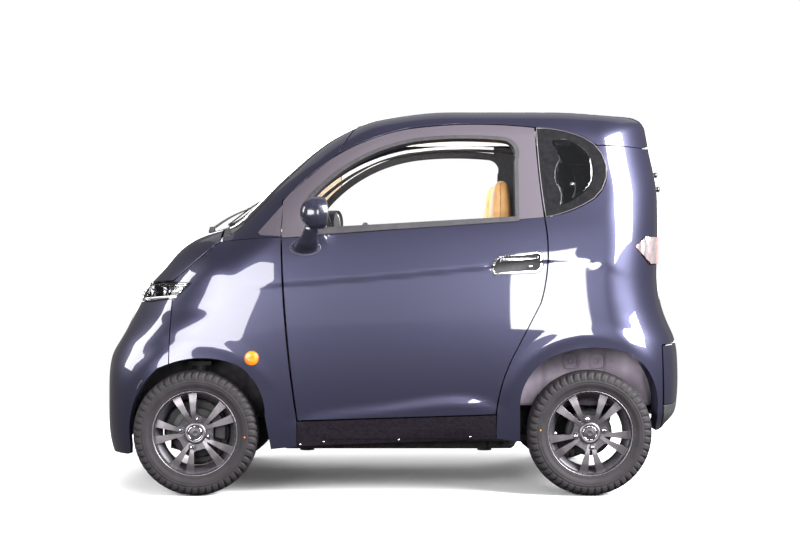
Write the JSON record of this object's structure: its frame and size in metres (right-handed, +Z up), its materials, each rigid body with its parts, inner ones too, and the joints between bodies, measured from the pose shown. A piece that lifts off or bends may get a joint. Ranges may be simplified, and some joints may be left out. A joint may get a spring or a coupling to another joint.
{
  "type": "microcar",
  "caption": "Short two-seat electric microcar with rounded body, doors, bonnet, tailgate, steered front wheels and alloy rims.",
  "frame": {"origin": "on the ground under the middle of the car", "axes": "+X towards the nose, +Y to the car's left, +Z up"},
  "size_m": [2.434, 1.7256, 1.5677],
  "materials": {
    "paint": "glossy metallic blue-grey",
    "satin_trim": "satin grey",
    "tinted_glass": "dark tinted",
    "clear_glass": "clear",
    "black_plastic": "grained black",
    "gloss_black": "gloss black",
    "lamp_glass": "clear lamp lens",
    "red_lamp": "clear and red lens",
    "amber_lamp": "amber lens",
    "bright_trim": "bright chrome",
    "chassis_black": "black coated",
    "battery_case": "moulded",
    "seat_leather": "tan, sewn",
    "tyre": "black rubber",
    "alloy": "machined faces over dark pockets"
  },
  "bodies": {
    "chassis": {"arch_liners": "black_plastic", "battery_box": "battery_case", "chassis_rails": "chassis_black", "cowl": "black_plastic", "cross_members": "chassis_black", "dashboard": "black_plastic", "floor_pan": "chassis_black", "front_bumper": "paint", "front_suspension": "chassis_black", "grille": "gloss_black", "headlamps": "lamp_glass", "indicators": "amber_lamp", "pillars": "paint", "quarter_glass": "tinted_glass", "quarters": "paint", "rear_axle": "chassis_black", "rear_bumper": "paint", "rear_suspension": "chassis_black", "roof": "paint", "seat_backs": "seat_leather", "seat_cushions": "seat_leather", "sills": "paint", "steering_column": "black_plastic", "tail_lamps": "red_lamp", "windscreen": "clear_glass", "wings": "paint", "wiper": "black_plastic"},
    "door_left": {"door_left": "paint", "window_frame_left": "satin_trim", "handle_left": "bright_trim", "mirror_left": "gloss_black"},
    "knuckle_left": {"knuckle_left": "chassis_black"},
    "wheel_front_left": {"tyre_front_left": "tyre", "rim_front_left": "alloy"},
    "wheel_rear_left": {"tyre_rear_left": "tyre", "rim_rear_left": "alloy"},
    "door_right": {"door_right": "paint", "window_frame_right": "satin_trim", "handle_right": "bright_trim", "mirror_right": "gloss_black"},
    "knuckle_right": {"knuckle_right": "chassis_black"},
    "wheel_front_right": {"tyre_front_right": "tyre", "rim_front_right": "alloy"},
    "wheel_rear_right": {"tyre_rear_right": "tyre", "rim_rear_right": "alloy"},
    "bonnet": {"bonnet": "paint"},
    "tailgate": {"tailgate": "paint", "tailgate_glass": "tinted_glass"},
    "steering_wheel": {"steering_wheel": "black_plastic"}
  },
  "joints": [
    {"name": "door_left_hinge", "type": "hinge", "parent": "chassis", "child": "door_left", "pos_m": [0.422, 0.704, 0.64], "axis": [-0.0946, 0, -0.9955], "range_deg": [0, 65]},
    {"name": "door_right_hinge", "type": "hinge", "parent": "chassis", "child": "door_right", "pos_m": [0.422, -0.704, 0.64], "axis": [0.0946, 0, 0.9955], "range_deg": [0, 65]},
    {"name": "bonnet_hinge", "type": "hinge", "parent": "chassis", "child": "bonnet", "pos_m": [0.697, 0, 1.062], "axis": [0, -1, 0], "range_deg": [0, 55]},
    {"name": "tailgate_hinge", "type": "hinge", "parent": "chassis", "child": "tailgate", "pos_m": [-1.098, 0, 1.403], "axis": [0, 1, 0], "range_deg": [0, 75]},
    {"name": "steering_wheel_turn", "type": "hinge", "parent": "chassis", "child": "steering_wheel", "pos_m": [0.045, 0.262, 0.93], "axis": [-0.9029, 0, 0.4299], "range_deg": [-420, 420]},
    {"name": "steer_left", "type": "hinge", "parent": "chassis", "child": "knuckle_left", "pos_m": [0.787, 0.58, 0.25], "axis": [0, 0, 1], "range_deg": [-28.05, 28.05]},
    {"name": "spin_front_left", "type": "hinge", "parent": "knuckle_left", "child": "wheel_front_left", "pos_m": [0.787, 0.6275, 0.25], "axis": [0, 1, 0], "continuous": true},
    {"name": "spin_rear_left", "type": "hinge", "parent": "chassis", "child": "wheel_rear_left", "pos_m": [-0.783, 0.6275, 0.25], "axis": [0, 1, 0], "continuous": true},
    {"name": "steer_right", "type": "hinge", "parent": "chassis", "child": "knuckle_right", "pos_m": [0.787, -0.58, 0.25], "axis": [0, 0, 1], "range_deg": [-28.05, 28.05]},
    {"name": "spin_front_right", "type": "hinge", "parent": "knuckle_right", "child": "wheel_front_right", "pos_m": [0.787, -0.6275, 0.25], "axis": [0, 1, 0], "continuous": true},
    {"name": "spin_rear_right", "type": "hinge", "parent": "chassis", "child": "wheel_rear_right", "pos_m": [-0.783, -0.6275, 0.25], "axis": [0, 1, 0], "continuous": true}
  ],
  "couplings": [
    {"joint": "steer_left", "follows": "steering_wheel_turn", "ratio": 0.066667},
    {"joint": "steer_right", "follows": "steering_wheel_turn", "ratio": 0.066667}
  ]
}
